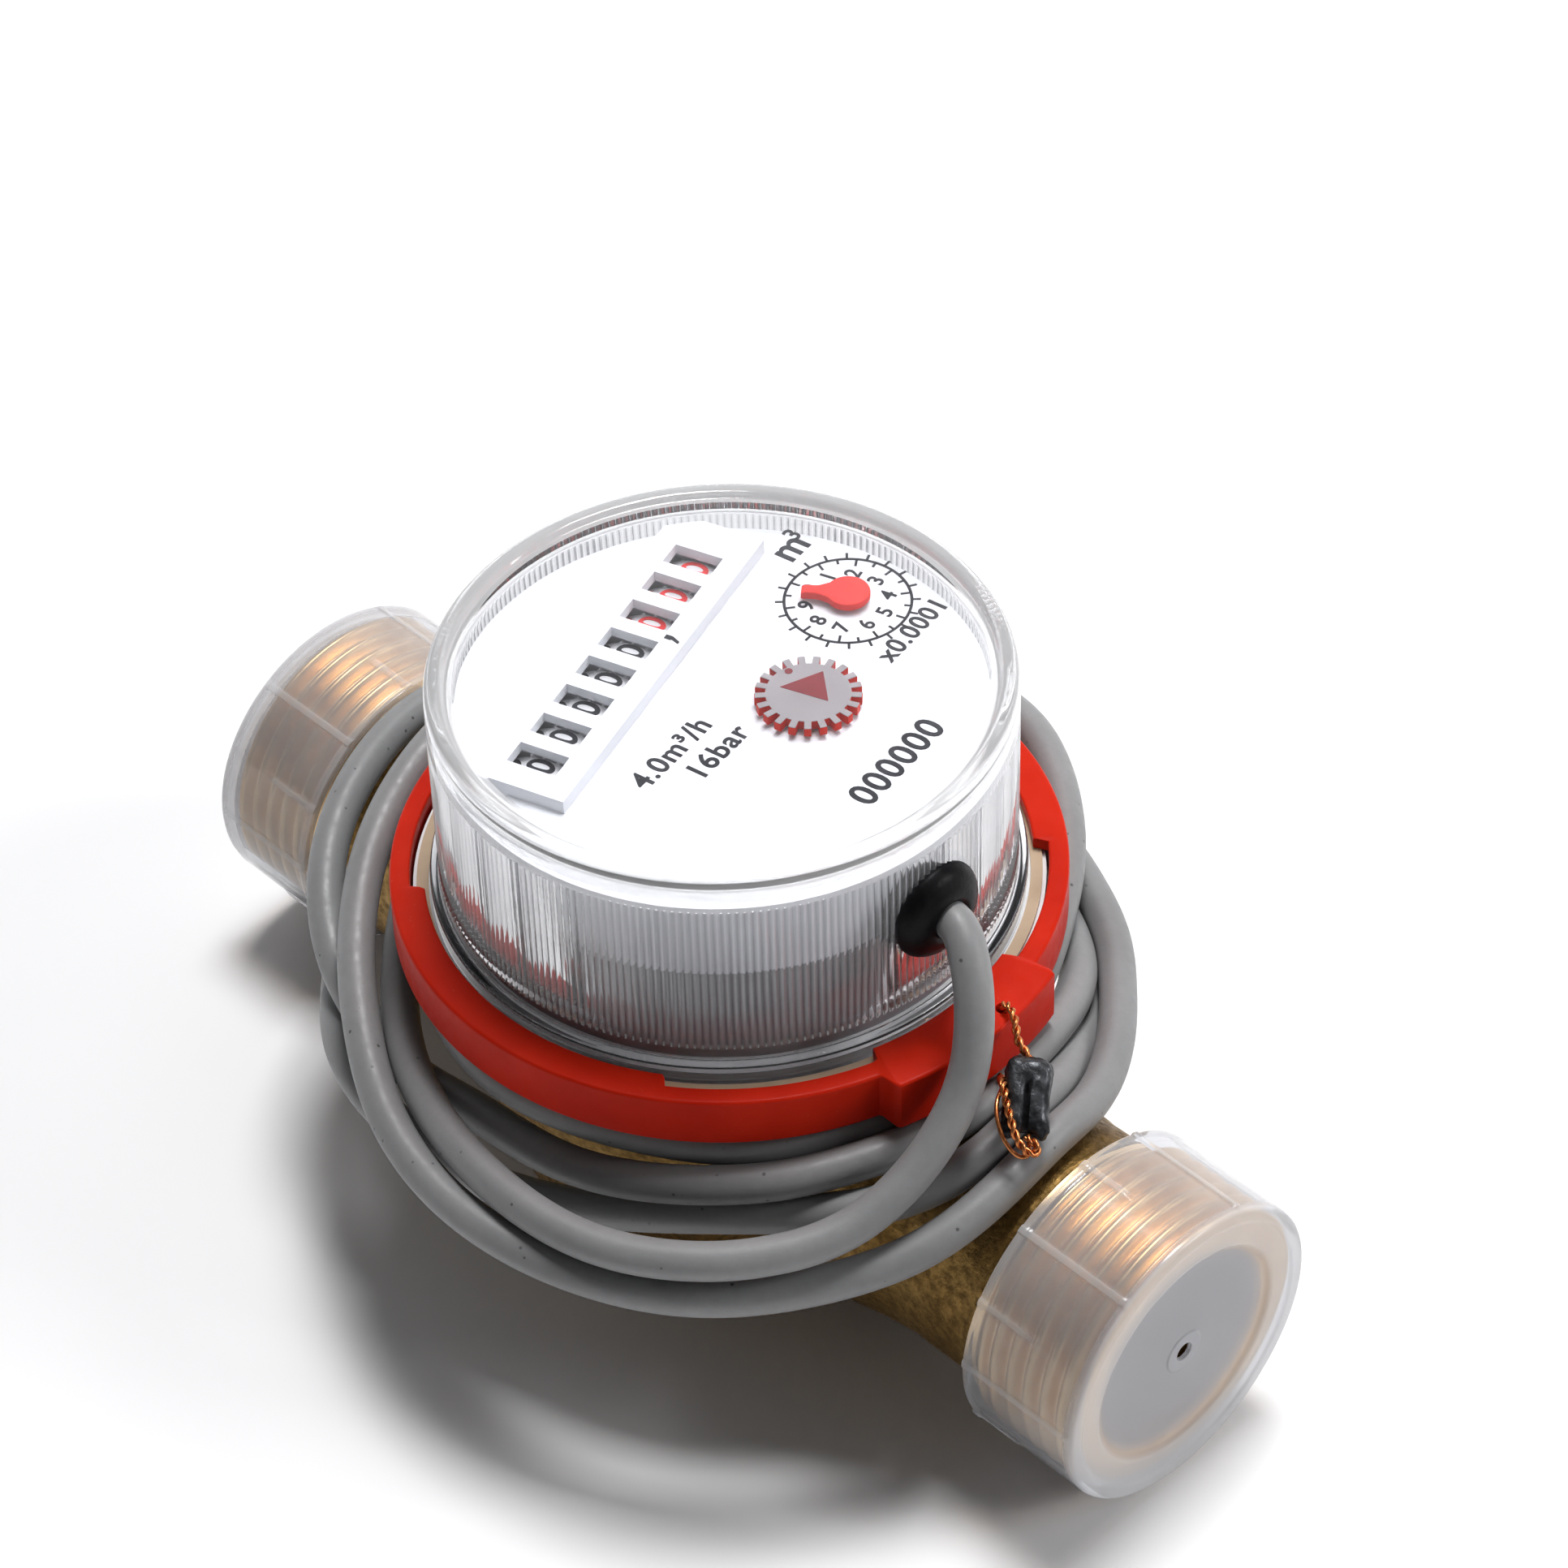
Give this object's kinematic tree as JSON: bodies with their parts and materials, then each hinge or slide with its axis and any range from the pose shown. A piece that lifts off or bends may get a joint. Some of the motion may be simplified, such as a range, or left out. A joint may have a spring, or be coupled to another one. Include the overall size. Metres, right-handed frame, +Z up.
{
  "type": "water meter",
  "caption": "Single-jet dry-dial water meter: cast brass body with capped threaded ends, clear swivelling register with counter, sealed clamp ring and coiled pulse lead.",
  "frame": {"origin": "centre of the flat foot under the body, on the register's axis", "axes": "+X along the pipe, out of the outlet; +Z up along the register's axis"},
  "size_m": [0.1324, 0.091, 0.0697],
  "materials": {
    "brass": "rough cast, machined on collar and threads",
    "steel": "fine ground",
    "ivory_plastic": "moulded",
    "magnet": "moulded ferrite, fine grain",
    "rubber": "satin",
    "strainer_plastic": "moulded",
    "red_plastic": "satin moulded",
    "cream_plastic": "moulded",
    "copper": "dull copper",
    "lead": "pinched lead, dull with bright scuffs",
    "white_plastic": "moulded",
    "grey_plastic": "moulded",
    "gear_plastic": "acetal",
    "red_paint": "moulded",
    "board": "solder mask",
    "glass": "clear",
    "dial": "printed",
    "clear": "polished, finely ribbed",
    "cable": "satin PVC",
    "milky": "milky translucent polyethylene"
  },
  "bodies": {
    "body": {"brass_body": "brass", "lower_pivot": "steel", "pressure_plate": "brass", "plate_seal": "rubber", "inlet_strainer": "strainer_plastic", "clamp_ring": "red_plastic", "slip_ring": "cream_plastic", "seal_wire": "copper", "lead_seal": "lead", "cable_lead": "cable", "cable_coil": "cable"},
    "rotor": {"impeller": "ivory_plastic", "impeller_shaft": "steel", "drive_magnet": "magnet"},
    "register": {"register_base": "white_plastic", "magnet_shield": "steel", "lower_plate": "ivory_plastic", "pillars": "brass", "bridge_plate": "ivory_plastic", "bridge_screws": "steel", "movement_housing": "grey_plastic", "counter_frame": "ivory_plastic", "wheel_axle": "steel", "pinion_axle": "steel", "pulse_board": "board", "reed_switch": "glass", "dial_plate": "dial", "clear_cover": "clear", "cover_gasket": "rubber", "cable_grommet": "rubber"},
    "magnet_gear": {"driven_magnet": "magnet", "magnet_arbor": "gear_plastic"},
    "star": {"star_arbor": "gear_plastic", "star_wheel": "red_paint"},
    "middle_gear": {"middle_arbor": "gear_plastic"},
    "hand": {"pointer_arbor": "gear_plastic", "pointer": "red_paint"},
    "transfer": {"transfer_wheel": "gear_plastic"},
    "figure_1": {"number_wheel_1": "white_plastic"},
    "figure_2": {"number_wheel_2": "white_plastic"},
    "figure_3": {"number_wheel_3": "white_plastic"},
    "figure_4": {"number_wheel_4": "white_plastic"},
    "figure_5": {"number_wheel_5": "white_plastic"},
    "figure_6": {"number_wheel_6": "white_plastic"},
    "figure_7": {"number_wheel_7": "white_plastic"},
    "figure_8": {"number_wheel_8": "white_plastic"},
    "carry_1": {"carry_pinion_1": "gear_plastic"},
    "carry_2": {"carry_pinion_2": "gear_plastic"},
    "carry_3": {"carry_pinion_3": "gear_plastic"},
    "carry_4": {"carry_pinion_4": "gear_plastic"},
    "carry_5": {"carry_pinion_5": "gear_plastic"},
    "carry_6": {"carry_pinion_6": "gear_plastic"},
    "carry_7": {"carry_pinion_7": "gear_plastic"},
    "carry_8": {"carry_pinion_8": "gear_plastic"},
    "inlet_cap": {"cap_inlet": "milky"},
    "outlet_cap": {"cap_outlet": "milky"}
  },
  "joints": [
    {"name": "rotor_spin", "type": "hinge", "parent": "body", "child": "rotor", "pos_m": [0, 0, 0.02], "axis": [0, 0, 1], "continuous": true},
    {"name": "register_turn", "type": "hinge", "parent": "body", "child": "register", "pos_m": [0, 0, 0.0415], "axis": [0, 0, 1], "range_deg": [-30, 30]},
    {"name": "magnet_gear_spin", "type": "hinge", "parent": "register", "child": "magnet_gear", "pos_m": [0, 0, 0.047], "axis": [0, 0, 1], "continuous": true},
    {"name": "star_spin", "type": "hinge", "parent": "register", "child": "star", "pos_m": [0.00637, 0.00607, 0.05], "axis": [0, 0, 1], "continuous": true},
    {"name": "middle_gear_spin", "type": "hinge", "parent": "register", "child": "middle_gear", "pos_m": [0.00148, 0.0124, 0.05], "axis": [0, 0, 1], "continuous": true},
    {"name": "hand_spin", "type": "hinge", "parent": "register", "child": "hand", "pos_m": [-0.0021, 0.02022, 0.05], "axis": [0, 0, 1], "continuous": true},
    {"name": "transfer_spin", "type": "hinge", "parent": "register", "child": "transfer", "pos_m": [-0.00819, 0.01764, 0.04871], "axis": [-0.3256, 0.9455, 0], "continuous": true},
    {"name": "figure_1_spin", "type": "hinge", "parent": "register", "child": "figure_1", "pos_m": [-0.0061, -0.01944, 0.0584], "axis": [-0.3256, 0.9455, 0], "continuous": true},
    {"name": "carry_1_spin", "type": "hinge", "parent": "register", "child": "carry_1", "pos_m": [-0.00196, -0.01626, 0.05345], "axis": [-0.3256, 0.9455, 0], "continuous": true},
    {"name": "figure_2_spin", "type": "hinge", "parent": "register", "child": "figure_2", "pos_m": [-0.00768, -0.01486, 0.0584], "axis": [-0.3256, 0.9455, 0], "continuous": true},
    {"name": "carry_2_spin", "type": "hinge", "parent": "register", "child": "carry_2", "pos_m": [-0.00354, -0.01169, 0.05345], "axis": [-0.3256, 0.9455, 0], "continuous": true},
    {"name": "figure_3_spin", "type": "hinge", "parent": "register", "child": "figure_3", "pos_m": [-0.00926, -0.01028, 0.0584], "axis": [-0.3256, 0.9455, 0], "continuous": true},
    {"name": "carry_3_spin", "type": "hinge", "parent": "register", "child": "carry_3", "pos_m": [-0.00511, -0.00711, 0.05345], "axis": [-0.3256, 0.9455, 0], "continuous": true},
    {"name": "figure_4_spin", "type": "hinge", "parent": "register", "child": "figure_4", "pos_m": [-0.01083, -0.00571, 0.0584], "axis": [-0.3256, 0.9455, 0], "continuous": true},
    {"name": "carry_4_spin", "type": "hinge", "parent": "register", "child": "carry_4", "pos_m": [-0.00669, -0.00254, 0.05345], "axis": [-0.3256, 0.9455, 0], "continuous": true},
    {"name": "figure_5_spin", "type": "hinge", "parent": "register", "child": "figure_5", "pos_m": [-0.01241, -0.00113, 0.0584], "axis": [-0.3256, 0.9455, 0], "continuous": true},
    {"name": "carry_5_spin", "type": "hinge", "parent": "register", "child": "carry_5", "pos_m": [-0.00826, 0.00204, 0.05345], "axis": [-0.3256, 0.9455, 0], "continuous": true},
    {"name": "figure_6_spin", "type": "hinge", "parent": "register", "child": "figure_6", "pos_m": [-0.01398, 0.00345, 0.0584], "axis": [-0.3256, 0.9455, 0], "continuous": true},
    {"name": "carry_6_spin", "type": "hinge", "parent": "register", "child": "carry_6", "pos_m": [-0.00984, 0.00662, 0.05345], "axis": [-0.3256, 0.9455, 0], "continuous": true},
    {"name": "figure_7_spin", "type": "hinge", "parent": "register", "child": "figure_7", "pos_m": [-0.01556, 0.00802, 0.0584], "axis": [-0.3256, 0.9455, 0], "continuous": true},
    {"name": "carry_7_spin", "type": "hinge", "parent": "register", "child": "carry_7", "pos_m": [-0.01142, 0.01119, 0.05345], "axis": [-0.3256, 0.9455, 0], "continuous": true},
    {"name": "figure_8_spin", "type": "hinge", "parent": "register", "child": "figure_8", "pos_m": [-0.01714, 0.0126, 0.0584], "axis": [-0.3256, 0.9455, 0], "continuous": true},
    {"name": "carry_8_spin", "type": "hinge", "parent": "register", "child": "carry_8", "pos_m": [-0.01299, 0.01577, 0.05345], "axis": [-0.3256, 0.9455, 0], "continuous": true},
    {"name": "inlet_cap_slide", "type": "slide", "parent": "body", "child": "inlet_cap", "axis": [-1, 0, 0], "range_m": [0, 0.04]},
    {"name": "outlet_cap_slide", "type": "slide", "parent": "body", "child": "outlet_cap", "axis": [1, 0, 0], "range_m": [0, 0.04]}
  ],
  "couplings": [
    {"joint": "magnet_gear_spin", "follows": "rotor_spin", "ratio": 1},
    {"joint": "star_spin", "follows": "rotor_spin", "ratio": -0.375},
    {"joint": "middle_gear_spin", "follows": "rotor_spin", "ratio": 0.125},
    {"joint": "hand_spin", "follows": "rotor_spin", "ratio": -0.066964},
    {"joint": "transfer_spin", "follows": "rotor_spin", "ratio": -0.0066964},
    {"joint": "figure_1_spin", "follows": "rotor_spin", "ratio": -0.00000000066964},
    {"joint": "carry_1_spin", "follows": "rotor_spin", "ratio": 0.0000000016741},
    {"joint": "figure_2_spin", "follows": "rotor_spin", "ratio": -0.0000000066964},
    {"joint": "carry_2_spin", "follows": "rotor_spin", "ratio": 0.000000016741},
    {"joint": "figure_3_spin", "follows": "rotor_spin", "ratio": -0.000000066964},
    {"joint": "carry_3_spin", "follows": "rotor_spin", "ratio": 0.00000016741},
    {"joint": "figure_4_spin", "follows": "rotor_spin", "ratio": -0.00000066964},
    {"joint": "carry_4_spin", "follows": "rotor_spin", "ratio": 0.0000016741},
    {"joint": "figure_5_spin", "follows": "rotor_spin", "ratio": -0.0000066964},
    {"joint": "carry_5_spin", "follows": "rotor_spin", "ratio": 0.000016741},
    {"joint": "figure_6_spin", "follows": "rotor_spin", "ratio": -0.000066964},
    {"joint": "carry_6_spin", "follows": "rotor_spin", "ratio": 0.00016741},
    {"joint": "figure_7_spin", "follows": "rotor_spin", "ratio": -0.00066964},
    {"joint": "carry_7_spin", "follows": "rotor_spin", "ratio": 0.0016741},
    {"joint": "figure_8_spin", "follows": "rotor_spin", "ratio": -0.0066964},
    {"joint": "carry_8_spin", "follows": "rotor_spin", "ratio": 0.016741}
  ]
}
